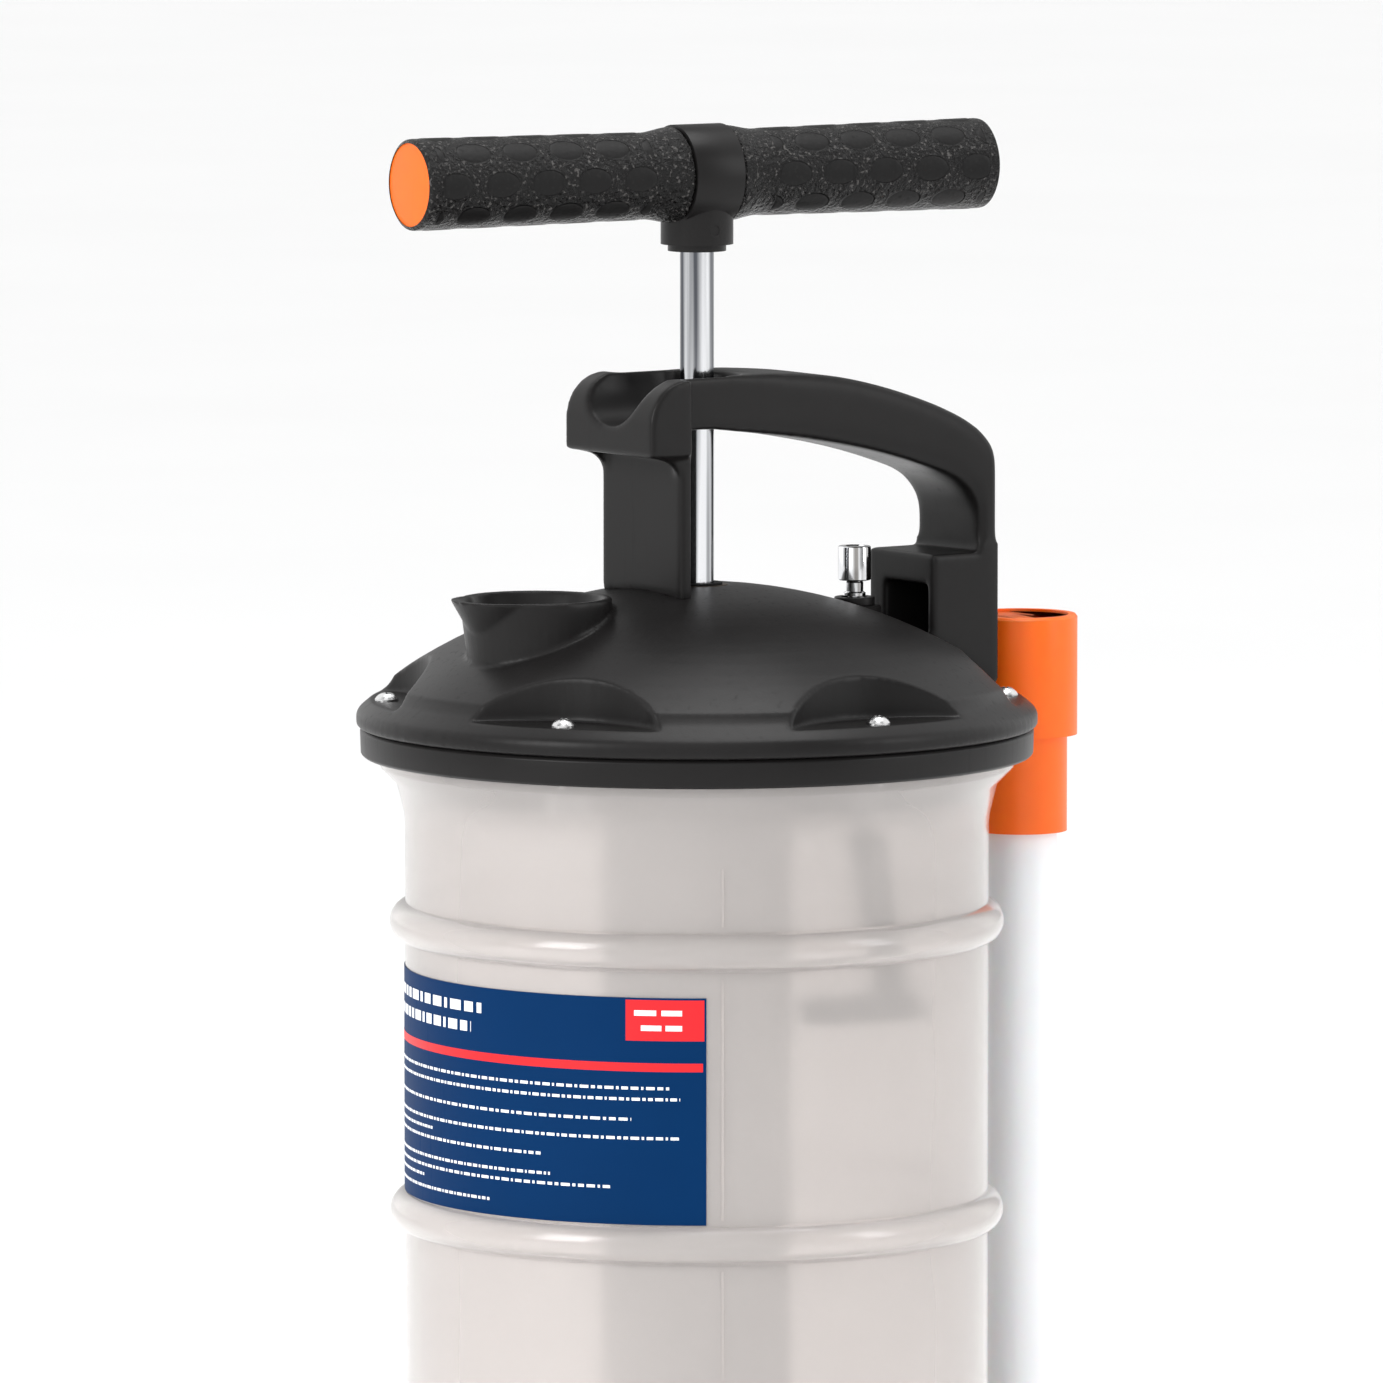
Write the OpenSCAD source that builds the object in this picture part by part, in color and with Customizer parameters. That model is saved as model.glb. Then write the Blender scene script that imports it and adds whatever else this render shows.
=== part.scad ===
// Tall hand vacuum pump that draws oil and other fluids into a ribbed tank.
// The tank stands in a base, a domed lid closes it, and a piston pump hangs
// from the lid with its T-handle on top. +Z is up, the origin is on the floor
// under the pump's axis, -Y is the pouring side and +Y is the probe tube side.

/* [Tank] */
// Outer radius of the tank's wall
tank_r = 86; // [84:0.5:87]
// Thickness of the tank's wall
tank_wall = 2.2; // [1.6:0.1:2.8]
// Height of the clamp ring's lower edge above the floor
rim_z = 405; // [395:1:420]
// Distance between two ribs
rib_pitch = 85.5; // [82:0.5:86]
// Depth of the highest rib below the clamp ring
rib_drop = 49; // [45:1:52]

/* [Lid] */
// Outer radius of the lid
lid_r = 100.3; // [100:0.1:100.5]
// Height of the dome's top above the clamp ring's lower edge
dome_h = 50.6; // [50:0.1:51]
// Radius of the circle of lid screws
screw_circle_r = 91.5; // [91:0.1:92]
// Distance of the pouring spout from the pump's axis
spout_y = 57.4; // [56:0.1:58]

/* [Pump] */
// Outer radius of the pump cylinder
cylinder_r = 28; // [27.5:0.1:28]
// Bore radius of the pump cylinder
cylinder_bore_r = 25.5; // [25.5:0.1:25.8]
// Radius of the piston rod
rod_r = 5; // [4.8:0.1:5]
// How far the pump is drawn above its lowest place
drawn_h = 44; // [40:1:46]

/* [T-handle] */
// Height of the T-handle's middle above the clamp ring's lower edge
t_axis_h = 171; // [169:1:180]
// Half the T-handle's length
t_half = 96.6; // [90:0.1:100]
// Turn of the T-handle about the rod, in degrees
t_turn = 5; // [0:1:10]

/* [Carry handle] */
// Height of the carry handle's top above the clamp ring's lower edge
carry_top = 112.5; // [112:0.1:113]
// Width of the cradle at the front of the carry handle
cradle_w = 45; // [44:0.5:46]
// Width of the grip bar
bar_w = 32.8; // [32:0.2:33]

/* [Probe tube] */
// Distance of the probe tube from the pump's axis
tube_y = 118; // [118:0.1:119]
// Outer radius of the probe tube
tube_r = 11; // [10.5:0.1:11]

/* [Hidden] */
$fn = 96;

black = "#2b2a2a";
orange = "#ee6c1a";
steel = "#c9ccd0";
dark_rubber = "#1c1c1c";

eps = 0.01;
floor_gap = 2.5;          // base plate above the floor, on its rubber feet
base_plate = 8;           // top of the base plate, where the tank stands
base_r = 90;
base_h = 50;
tread_r = 118;
heel_r = 10;              // rounding at the tank's lower edge
rib_r = 6;
rib_inset = 1.5;
ribs = 4;
mouth_r = tank_r - tank_wall;
neck_r = 93.5;            // tank neck just below the clamp ring
flange_r = 96.5;
flange_top = 4.5;         // above the clamp ring's lower edge, as all below
lid_bottom = 6.5;
dome_r = 158;             // radius of the dome's sphere
dome_wall = 3;
dome_edge_r = 92;
cavity_r = 75;
pocket_floor = 16.5;
pocket_r = 46;
pocket_back = 79;
spout_top = 49.4;
nose_y = 9.5;              // pouring nose, from the spout's own axis
nose_r = 17.2;
head_z = 36.5;            // upper end of the pump cylinder
boss_r = 33;
boss_bottom = 20;
bush_r = 9;
bush_bottom = 36;
foot_z = 12;              // underside of the cylinder foot above the floor
cylinder_z = 18;          // lower end of the pump cylinder above the floor
piston_z = cylinder_z + 12 + drawn_h;
piston_h = 18;
piston_r = cylinder_bore_r - 0.3;
pin_h = t_axis_h - 16;
knob_y = 57;
seat_z = 41;              // top of the lid's boss under the release valve
float_x = 14;
float_y = 50;
pad_top = -74.4;
intake_x = -38;
foot_back = 98.3;         // rear face of the carry handle's foot
foot_front = 91;
block_front = 74;
block_top = 56;
post_front = -20;
cradle_front = -31.7;
collar_low = -30;
collar_step = -1;
collar_top = 35;
lug_y = 102.8;            // how far the clamp ring's lug reaches into the collar
screw_angles = [for (i = [0:5]) 30 + 60 * i];

module at_rim() {
    translate([0, 0, rim_z]) children();
}

module rod_z(r, z0, z1) {
    translate([0, 0, z0]) cylinder(r = r, h = z1 - z0);
}

module ring(r_out, r_in, z0, z1) {
    difference() {
        rod_z(r_out, z0, z1);
        rod_z(r_in, z0 - 1, z1 + 1);
    }
}

module box(x0, x1, y0, y1, z0, z1) {
    translate([x0, y0, z0]) cube([x1 - x0, y1 - y0, z1 - z0]);
}

module along_y(y0, y1, r1, r2) {
    translate([0, y0, 0]) rotate([-90, 0, 0]) cylinder(h = y1 - y0, r1 = r1, r2 = r2);
}

module at_screws() {
    for (a = screw_angles) rotate(a) translate([0, -screw_circle_r, 0]) children();
}

module on_t_handle() {
    at_rim() translate([0, 0, t_axis_h]) rotate(-t_turn) children();
}

// Base with two foot treads and the probe tube's socket.
module base() {
    color(black) difference() {
        union() {
            rod_z(base_r, floor_gap, base_h);
            intersection() {
                rod_z(tread_r, floor_gap, 14);
                box(-tread_r, tread_r, -34, 34, 0, 20);
            }
            box(-15, 15, 80, tube_y, floor_gap, 14);
            translate([0, tube_y, 0]) rod_z(15, floor_gap, 42);
        }
        rod_z(tank_r + 0.3, base_plate, base_h + 1);
        translate([0, tube_y, 0]) rod_z(tube_r, base_plate, 43);
        for (side = [-1, 1], i = [-2:2]) {
            translate([side * 105, i * 11, 12]) rotate([0, 90, 0])
                translate([0, 0, -8]) cylinder(r = 2.6, h = 16, $fn = 24);
        }
        at_feet() rod_z(9.2, 0, 4);
    }
}

module at_feet() {
    for (x = [-1, 1], y = [-1, 1]) translate([x * 96, y * 20, 0]) children();
    for (y = [-70, 0, 112]) translate([0, y, 0]) children();
}

module base_feet() {
    color(dark_rubber) at_feet() union() {
        rod_z(9, 1, 4);
        cylinder(r1 = 8, r2 = 9, h = 1);
    }
}

// Half section of the tank's body, for its outside and again for its hollow.
module tank_section(r, bottom, heel, rib) {
    translate([0, bottom + heel]) square([r, rim_z + flange_top - bottom - heel]);
    translate([0, bottom]) square([r - heel, heel + eps]);
    translate([r - heel, bottom + heel]) circle(heel);
    for (i = [0:ribs - 1]) {
        translate([tank_r - rib_inset, rim_z - rib_drop - i * rib_pitch]) circle(rib);
    }
}

module tank() {
    color("#d9d5d0", 0.55) difference() {
        rotate_extrude($fn = 144) difference() {
            union() {
                tank_section(tank_r, base_plate, heel_r, rib_r);
                translate([0, rim_z]) polygon([
                    [0, -20], [tank_r, -20], [tank_r + 1, -14], [88.5, -8], [neck_r, -3],
                    [neck_r, 1.5], [flange_r, 1.5], [flange_r, flange_top], [0, flange_top]
                ]);
            }
            tank_section(mouth_r, base_plate + tank_wall, heel_r - tank_wall, rib_r - tank_wall);
            translate([0, rim_z]) square([mouth_r, 20]);
            translate([-100, 0]) square([100, rim_z + 20]);
        }
        at_rim() at_screws() rod_z(1.8, -1.5, 10);
    }
}

module tank_label() {
    color("#003462") at_rim() rotate(-90 - 57) rotate_extrude(angle = 114, $fn = 144)
        translate([tank_r, -128.5]) square([0.4, 66.5]);
}

// Ring that grips the tank's flange and holds the probe tube's collar.
module clamp_ring() {
    color(black) at_rim() union() {
        rotate_extrude($fn = 144) polygon([
            [93.8, 0], [98.2, 0], [99, 0.8], [99.2, 7.4], [98.4, 8.4], [97.8, 8.4],
            [97.8, 6.3], [flange_r + 0.3, 6.3], [flange_r + 0.3, 1.5], [93.8, 1.5]
        ]);
        box(-7, 7, 98.5, lug_y, 0, 6.3);
    }
}

module dome(r, h) {
    intersection() {
        translate([0, 0, dome_h - dome_r]) sphere(r = r, $fn = 200);
        rod_z(h, lid_bottom - 1, dome_h + 5);
    }
}

// Domed lid with screw pockets, the pouring spout and the pump's socket.
module lid() {
    color(black) at_rim() difference() {
        union() {
            intersection() {
                dome(dome_r, dome_edge_r);
                rod_z(dome_edge_r, lid_bottom, dome_h + 1);
            }
            rotate_extrude($fn = 144) polygon([
                [cavity_r, lid_bottom], [97.5, lid_bottom], [97.5, 8.7], [lid_r - 0.5, 8.7],
                [lid_r, 9.2], [lid_r, 12.2],
                [lid_r - 0.7, 13.6], [98, 15], [94, 18.2], [91.5, 21.2], [cavity_r, 25]
            ]);
            ring(mouth_r - 0.2, 80, -4, lid_bottom + eps);
            translate([0, -spout_y, 0]) spout_cup();
            translate([0, knob_y, 0]) rod_z(8, 33, seat_z);
        }
        difference() {
            intersection() {
                dome(dome_r - dome_wall, cavity_r);
                rod_z(cavity_r, lid_bottom - 1, dome_h);
            }
            rod_z(boss_r, boss_bottom, dome_h);
            translate([0, -spout_y, 0]) rod_z(17.5, 24, dome_h);
            translate([0, knob_y, 0]) rod_z(8, 33, dome_h);
        }
        rod_z(cylinder_r, boss_bottom - 1, head_z + 1.5);
        rod_z(bush_r, boss_bottom, dome_h + 1);
        translate([0, -spout_y, 0]) {
            rod_z(15, 20, 40);
            translate([0, 0, 40]) cylinder(r1 = 15, r2 = 19.8, h = 9.41);
        }
        translate([0, knob_y, 0]) {
            rod_z(4, 30, seat_z + 1);
            rod_z(6.2, seat_z, dome_h);
        }
        at_screws() rod_z(2.1, lid_bottom - 1, 20);
        for (a = screw_angles) rotate(a) translate([0, -pocket_back - pocket_r, 0])
            rod_z(pocket_r, pocket_floor, 40);
        for (x = [-13, 13]) translate([x, -17.5, 0]) {
            rod_z(1.6, head_z, dome_h + 1);
            rod_z(3.2, head_z, head_z + 4);
        }
    }
}

// Tapered cup with a pouring nose on its -Y side.
module spout_cup() {
    difference() {
        union() {
            translate([0, 0, 20]) cylinder(r1 = 18.6, r2 = 22.2, h = spout_top - 22);
            rod_z(22.2, spout_top - 2.1, spout_top);
            translate([0, -nose_y, spout_top - 11]) cylinder(r1 = 11, r2 = nose_r, h = 11);
        }
        translate([0, -nose_y + 1, spout_top - 8])
            cylinder(r1 = 11, r2 = nose_r - 1.4, h = 8.4);
    }
}

module lid_gasket() {
    color(dark_rubber) at_rim() ring(89, 84.5, flange_top, lid_bottom);
}

module lid_screws() {
    color(steel) at_rim() at_screws() difference() {
        union() {
            rod_z(1.8, -1.4, pocket_floor);
            intersection() {
                translate([0, 0, pocket_floor - 1.4]) sphere(r = 4);
                rod_z(3.5, pocket_floor, pocket_floor + 4);
            }
        }
        for (a = [0, 90]) rotate(a) box(-1.9, 1.9, -0.4, 0.4, pocket_floor + 1.5, 22);
    }
}

// Outline of the grip bar from the side, with y to the right and z up.
module bar_outline() {
    polygon([
        [-22, carry_top], [17, 112.5], [24.55, 112.1], [33.35, 111.41], [42, 110.3],
        [49.85, 108.74], [57.55, 106.8], [65, 104.6], [71.95, 102.31], [78.67, 99.79],
        [84.5, 97.2], [87.96, 95.37], [90.97, 93.51], [93.5, 91.5], [95.2, 89.76],
        [96.59, 87.93], [97.6, 86], [98.09, 84.06], [98.23, 82.03], [98.3, 80],
        [foot_back, 52], [foot_front, 52], [91, 62], [90.96, 64.71], [90.84, 67.42],
        [90.2, 70], [88.7, 72.71], [86.58, 75.27], [84, 77.5], [80.29, 79.53], [75.93, 81.1],
        [71.3, 82.6], [65.7, 84.4], [59.73, 86.1], [53.4, 87.7], [45.23, 89.49],
        [36.57, 91.14], [28.2, 92.6], [21.31, 93.67], [14.65, 94.58], [8, 95.5],
        [-4, 97], [-22, 97.4]
    ]);
}

// Curved web under the cradle, in front of the post.
module web_outline() {
    difference() {
        translate([-28, 83.5]) square([9, 7]);
        translate([-28.5, 83]) scale([1, 0.76]) circle(8.5, $fn = 48);
    }
}

module from_side(width) {
    translate([-width / 2, 0, 0]) rotate([90, 0, 90]) linear_extrude(width) children();
}

// Carry handle: cradle and post at the front, bar over the top, foot behind.
module carry_handle() {
    color(black) at_rim() difference() {
        union() {
            from_side(bar_w) bar_outline();
            box(-bar_w / 2, bar_w / 2, block_front, foot_back, 10, block_top);
            from_side(cradle_w) difference() {
                translate([cradle_front, 90]) square([14.7, carry_top - 90]);
                difference() {
                    translate([cradle_front - 1, carry_top - 13]) square([14, 14]);
                    translate([cradle_front + 13, carry_top - 13]) circle(13);
                }
            }
            box(-20.5, 20.5, post_front, -16, 40, 98);
            box(-bar_w / 2, bar_w / 2, post_front, -14, 40, 98);
            for (x = [-20.5, 17.5]) translate([x, 0, 0]) rotate([90, 0, 90])
                linear_extrude(3) web_outline();
        }
        translate([0, cradle_front - 1, carry_top + 0.5]) rotate([-90, 0, 0])
            cylinder(r = 14.6, h = 33);
        rod_z(12.6, carry_top - 14, carry_top + 2);
        rod_z(rod_r + 1.5, 40, carry_top + 2);
        translate([0, 0, dome_h - dome_r]) sphere(r = dome_r, $fn = 200);
        rotate_extrude($fn = 144) polygon([
            [85, 0], [104, 0], [104, 13.7], [lid_r - 0.7, 13.7], [98, 15.1], [94, 18.3],
            [91.5, 21.3], [85, 21.3]
        ]);
        box(-8, 13, block_front - 1, 94, 20, block_top - 9);
        for (x = [-13, 13]) translate([x, -17.5, 0]) rod_z(1.3, 40, 64);
    }
}

module handle_screws() {
    color(steel) at_rim() for (x = [-13, 13]) translate([x, -17.5, 0]) {
        rod_z(3, head_z + 1.6, head_z + 4);
        rod_z(1.3, head_z + 4 - eps, 64);
    }
}

// Rubber bung in the spout, with the bore that takes the suction hose.
module hose_bung() {
    color(dark_rubber) at_rim() translate([0, -spout_y, 0]) difference() {
        union() {
            rod_z(15, 24, 40);
            translate([0, 0, 40]) cylinder(r1 = 15, r2 = 16, h = 2);
            rod_z(10, 42 - eps, 46);
        }
        rod_z(6.5, 20, 50);
    }
}

module pump_cylinder() {
    color("#e6e4e0", 0.8) difference() {
        union() {
            rod_z(cylinder_r, cylinder_z, rim_z + head_z);
            rod_z(boss_r - 0.5, rim_z + boss_bottom - 2.5, rim_z + boss_bottom);
        }
        rod_z(cylinder_bore_r, cylinder_z - 1, rim_z + head_z + 1);
    }
}

module cylinder_seal() {
    color(dark_rubber) at_rim() ring(27.8, cylinder_bore_r + 0.2, head_z, head_z + 1.5);
}

module cylinder_nut() {
    color(black) at_rim() difference() {
        ring(37, cylinder_r, 12, 30);
        rod_z(boss_r, boss_bottom - 2.5, 31);
        for (i = [0:11]) rotate(i * 30) translate([38.2, 0, 0]) rod_z(2.4, 11, 31);
    }
}

// Closed foot of the cylinder, with the air port that the intake disc covers.
module cylinder_foot() {
    color(black) difference() {
        union() {
            rod_z(31, foot_z, 34);
            hull() {
                rod_z(8, foot_z, cylinder_z);
                translate([intake_x, 0, 0]) rod_z(7, foot_z, cylinder_z);
            }
            translate([intake_x, 0, 0]) rod_z(7, foot_z, 26);
        }
        rod_z(cylinder_r, cylinder_z, 35);
        rod_z(4, 15, 19);
        translate([intake_x, 0, 15]) rotate([0, 90, 0]) cylinder(r = 1.8, h = -intake_x);
        translate([intake_x, 0, 0]) rod_z(4, 17, 27);
        translate([intake_x, 0, 0]) rod_z(2.6, 15, 18);
    }
}

module valve_cage() {
    color(black) difference() {
        rod_z(13, cylinder_z, 23);
        rod_z(9.2, cylinder_z - 1, 21.2);
        for (i = [0:5]) rotate(60 * i) translate([6, 0, 0]) rod_z(1.8, 20, 24);
    }
}

module intake_disc() {
    color(dark_rubber) rod_z(8.5, cylinder_z + 0.1, cylinder_z + 1.6);
}

module intake_pipe() {
    color("#e6e4e0") translate([intake_x, 0, 0]) ring(4, 2.6, cylinder_z, rim_z + 8);
}

module rod_bush() {
    color("#c9a45a") at_rim() difference() {
        union() {
            rod_z(12, bush_bottom, head_z + 1.5);
            rod_z(bush_r, head_z, dome_h - 0.4);
        }
        rod_z(rod_r + 0.06, 30, dome_h + 1);
        rod_z(7.5, dome_h - 3, dome_h + 1);
    }
}

module rod_wiper() {
    color(dark_rubber) at_rim() ring(7.5, rod_r + 0.08, dome_h - 3, dome_h + 0.2);
}

module release_seat() {
    color(black) at_rim() translate([0, knob_y, 0]) difference() {
        union() {
            rod_z(4, 31, seat_z + 1);
            rod_z(6, seat_z, seat_z + 2.4);
            rod_z(6, 30, 33);
        }
        rod_z(1.76, 29, 45);
        rod_z(3.9, 38.5, 45);
    }
}

// Chrome release knob on its valve stem.
module release_knob() {
    color(steel) at_rim() translate([0, knob_y, 0]) {
        rod_z(1.7, 22, 44);
        rod_z(3.4, 43.5, 48.4);
        rod_z(4.9, 48.3, 57.8);
        translate([0, 0, 57.8 - eps]) cylinder(r1 = 4.9, r2 = 4.1, h = 0.8);
    }
}

module release_spring() {
    color(steel) at_rim() translate([0, knob_y, 0]) ring(3.4, 2.4, 38.5, 43.5);
}

module release_seal() {
    color(dark_rubber) at_rim() translate([0, knob_y, 0]) ring(5.5, 1.7, 27.8, 29.8);
}

// Guide for the overfill float, fixed under the dome.
module float_guide() {
    color(black) at_rim() translate([float_x, float_y, 0]) difference() {
        union() {
            rod_z(5.5, -8, 30);
            rod_z(7.4, 26, 39);
        }
        rod_z(2.9, -9, 24);
        dome_cut();
    }
}

// Everything above the dome's inner face, seen from the float guide.
module dome_cut() {
    translate([-float_x, -float_y, 0]) difference() {
        rod_z(70, 20, 60);
        translate([0, 0, dome_h - dome_r]) sphere(r = dome_r - dome_wall, $fn = 200);
    }
}

module float_arm() {
    color(black) at_rim() translate([float_x, float_y, 0]) {
        rod_z(2.6, -24, 12);
        difference() {
            translate([0, 0, -20]) rotate([11.5, 0, 0]) box(-3, 3, -4.5, 4.5, -60, 0);
            box(-10, 10, -20, 40, -90, pad_top);
        }
    }
}

module float_pad() {
    color("#3a3a3a") at_rim() translate([float_x, float_y, 0])
        box(-8, 8, -18, 17, -81, pad_top);
}

module probe_tube() {
    color("#ececee") translate([0, tube_y, 0]) ring(tube_r, 9.5, base_plate, rim_z - 2);
}

module probe_collar() {
    color(orange) at_rim() difference() {
        translate([0, tube_y, 0]) difference() {
            union() {
                rod_z(14, collar_low, collar_step);
                rod_z(17, collar_step, collar_top - 0.8);
                translate([0, 0, collar_top - 0.8 - eps]) cylinder(r1 = 17, r2 = 16.4, h = 0.8);
            }
            rod_z(tube_r, collar_low - 1, -2);
            rod_z(9.5, -3, 4);
            rod_z(14.4, 3, collar_top + 1);
        }
        box(-7.1, 7.1, 98, lug_y + 0.1, collar_step, lid_bottom);
    }
}

module piston_rod() {
    color(steel) difference() {
        rod_z(rod_r, piston_z - 6.4, rim_z + t_axis_h);
        translate([0, 0, rim_z + pin_h]) rotate(-t_turn) rotate([0, 90, 0])
            cylinder(r = 1.5, h = 30, center = true);
    }
}

// Core of the T-handle, with the hub that takes the rod.
module t_body() {
    color(black) on_t_handle() difference() {
        union() {
            along_y(-t_half + 3.6, t_half - 3.6, 9.5, 9.5);
            along_y(-8, 8, 14.7, 14.7);
            rod_z(10.7, -20.5, -8);
            rod_z(8.6, -22.5, -20);
        }
        rod_z(rod_r, -30, 0);
        translate([0, 0, pin_h - t_axis_h]) rotate([0, 90, 0])
            cylinder(r = 1.5, h = 30, center = true);
    }
}

// One grip sleeve with a flared inner end, on the +Y half of the T-handle.
module grip_sleeve() {
    color(dark_rubber) difference() {
        union() {
            along_y(8.2, 19, 14.3, 13);
            along_y(19 - eps, t_half, 13, 13.7);
        }
        along_y(7, t_half - 3.5, 9.5, 9.5);
        rod_z(10.9, -21, -6);
        along_y(t_half - 3.6, t_half + 1, 12.9, 12.9);
    }
}

module end_cap() {
    color(orange) along_y(t_half - 3.6, t_half - 0.3, 12.9, 12.7);
}

module grip_front() {
    on_t_handle() rotate(180) grip_sleeve();
}

module grip_rear() {
    on_t_handle() grip_sleeve();
}

module cap_front() {
    on_t_handle() rotate(180) end_cap();
}

module cap_rear() {
    on_t_handle() end_cap();
}

module handle_pin() {
    color(steel) on_t_handle() translate([0, 0, pin_h - t_axis_h]) rotate([0, 90, 0])
        cylinder(r = 1.5, h = 21, center = true);
}

module piston() {
    color("#8a8d90") difference() {
        rod_z(piston_r, piston_z, piston_z + piston_h);
        rod_z(rod_r, piston_z - 1, piston_z + piston_h + 1);
        ring(30, 22, piston_z + 3, piston_z + 7);
        ring(30, 23, piston_z + 11, piston_z + 15);
        for (i = [0:5]) rotate(60 * i) translate([14, 0, 0])
            rod_z(2, piston_z - 1, piston_z + piston_h + 1);
    }
}

module piston_seal() {
    color(dark_rubber) ring(cylinder_bore_r - 0.05, 22.06, piston_z + 3.1, piston_z + 6.9);
}

module guide_ring() {
    color("#e6e4e0") ring(cylinder_bore_r - 0.05, 23.06, piston_z + 11.1, piston_z + 14.9);
}

module piston_washer() {
    color(steel) ring(10, rod_r, piston_z + piston_h + 2.4, piston_z + piston_h + 4);
}

module piston_disc() {
    color(dark_rubber)
        ring(17.5, rod_r + 0.1, piston_z + piston_h + 0.1, piston_z + piston_h + 1.1);
}

module piston_nut() {
    color(steel) difference() {
        translate([0, 0, piston_z - 6]) cylinder(r = 9, h = 6, $fn = 6);
        rod_z(rod_r, piston_z - 9, piston_z + 1);
    }
}

base();
base_feet();
tank();
tank_label();
clamp_ring();
lid();
lid_gasket();
lid_screws();
carry_handle();
handle_screws();
hose_bung();
pump_cylinder();
cylinder_seal();
cylinder_nut();
cylinder_foot();
valve_cage();
intake_disc();
intake_pipe();
rod_bush();
rod_wiper();
release_seat();
release_knob();
release_spring();
release_seal();
float_guide();
float_arm();
float_pad();
probe_tube();
probe_collar();
piston_rod();
t_body();
grip_front();
grip_rear();
cap_front();
cap_rear();
handle_pin();
piston();
piston_seal();
guide_ring();
piston_washer();
piston_disc();
piston_nut();
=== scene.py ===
"""Visual model of a tall hand vacuum pump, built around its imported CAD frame."""

import sys

import logging
import math
from dataclasses import dataclass, field
from enum import Enum

import bmesh
import bpy
from mathutils import Matrix, Vector

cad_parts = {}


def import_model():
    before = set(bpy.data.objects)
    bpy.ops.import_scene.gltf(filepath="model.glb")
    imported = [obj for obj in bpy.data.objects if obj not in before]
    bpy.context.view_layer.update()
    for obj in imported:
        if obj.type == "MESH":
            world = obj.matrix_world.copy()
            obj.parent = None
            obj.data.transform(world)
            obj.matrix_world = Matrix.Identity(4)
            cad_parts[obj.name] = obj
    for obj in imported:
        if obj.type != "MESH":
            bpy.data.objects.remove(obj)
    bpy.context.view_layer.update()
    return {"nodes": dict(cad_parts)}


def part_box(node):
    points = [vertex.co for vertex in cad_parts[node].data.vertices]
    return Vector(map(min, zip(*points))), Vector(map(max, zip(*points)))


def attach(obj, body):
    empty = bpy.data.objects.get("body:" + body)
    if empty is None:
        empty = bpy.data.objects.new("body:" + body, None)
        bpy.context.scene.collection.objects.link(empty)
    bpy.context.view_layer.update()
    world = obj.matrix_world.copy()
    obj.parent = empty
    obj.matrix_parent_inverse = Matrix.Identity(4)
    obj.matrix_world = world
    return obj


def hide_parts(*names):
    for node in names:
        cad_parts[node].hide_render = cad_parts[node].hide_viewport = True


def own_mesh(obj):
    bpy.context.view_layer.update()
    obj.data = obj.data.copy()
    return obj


LOG = logging.getLogger("vacuum_pump")
MM = 0.001
Point = tuple[float, float]
Corner = tuple[float, float, float]
Tint = tuple[float, float, float]
Shape = bmesh.types.BMesh
Piece = bpy.types.Object
Material = bpy.types.Material
Socket = bpy.types.NodeSocket
GRAIN_SCALE = 1800.0
BLOTCH_SCALE = 22.0
MARK_SCALE = 620.0
MARK_STRETCH = (1.0, 1.0, 0.08)
MARK_TURN = (0.5, 0.3, 0.2)
WELD = 1e-6


class Slot(Enum):
    """Material slots of the record, named next to each piece's finish."""

    BLACK = "black_plastic"
    RUBBER = "black_rubber"
    GRIP = "grip_rubber"
    TANK = "tank_plastic"
    WHITE = "white_plastic"
    ORANGE = "orange_plastic"
    LABEL = "label_film"
    STEEL = "screw_steel"


# ---------------------------------------------------------------- shader work


class Sheet:
    """A node tree with short calls for adding and joining nodes."""

    def __init__(self, tree: bpy.types.NodeTree) -> None:
        """Keep the tree that the calls work on.

        Args:
            tree: The material's or group's node tree.
        """
        self.tree = tree

    def add(self, kind: str, **settings: object) -> bpy.types.Node:
        """Add one node.

        Args:
            kind: The node's type name without its ShaderNode prefix.
            **settings: Properties to set on the node.

        Returns:
            The new node.
        """
        prefix = "" if kind.startswith("Node") else "ShaderNode"
        node = self.tree.nodes.new(prefix + kind)
        for name, value in settings.items():
            setattr(node, name, value)
        return node

    def join(self, source: Socket, target: Socket) -> None:
        """Link an output to an input."""
        self.tree.links.new(source, target)

    def place(self) -> Socket:
        """Return the Object coordinates of the piece being shaded."""
        return self.add("TexCoord").outputs["Object"]

    def noise(self, where: Socket, scale: float, detail: float = 2.0) -> bpy.types.Node:
        """Add a noise texture.

        Args:
            where: The coordinates that it reads.
            scale: Its scale, per metre.
            detail: How many octaves it holds.

        Returns:
            The noise node.
        """
        node = self.add("TexNoise")
        preset(node, {"Scale": scale, "Detail": detail})
        self.join(where, node.inputs["Vector"])
        return node

    def remap(
        self, value: Socket, low: float, high: float, start: float = 0.3, end: float = 0.7
    ) -> Socket:
        """Stretch a value from start..end to low..high.

        Args:
            value: The value to stretch.
            low: What start becomes.
            high: What end becomes.
            start: The value that becomes low.
            end: The value that becomes high.

        Returns:
            The stretched value's socket.
        """
        node = self.add("MapRange")
        preset(node, {"From Min": start, "From Max": end, "To Min": low, "To Max": high})
        self.join(value, node.inputs["Value"])
        return node.outputs["Result"]


def preset(node: bpy.types.Node, values: dict[str, object]) -> None:
    """Set a node's inputs.

    Args:
        node: The node.
        values: The value of each input, by the input's name.
    """
    for name, value in values.items():
        node.inputs[name].default_value = value


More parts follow.
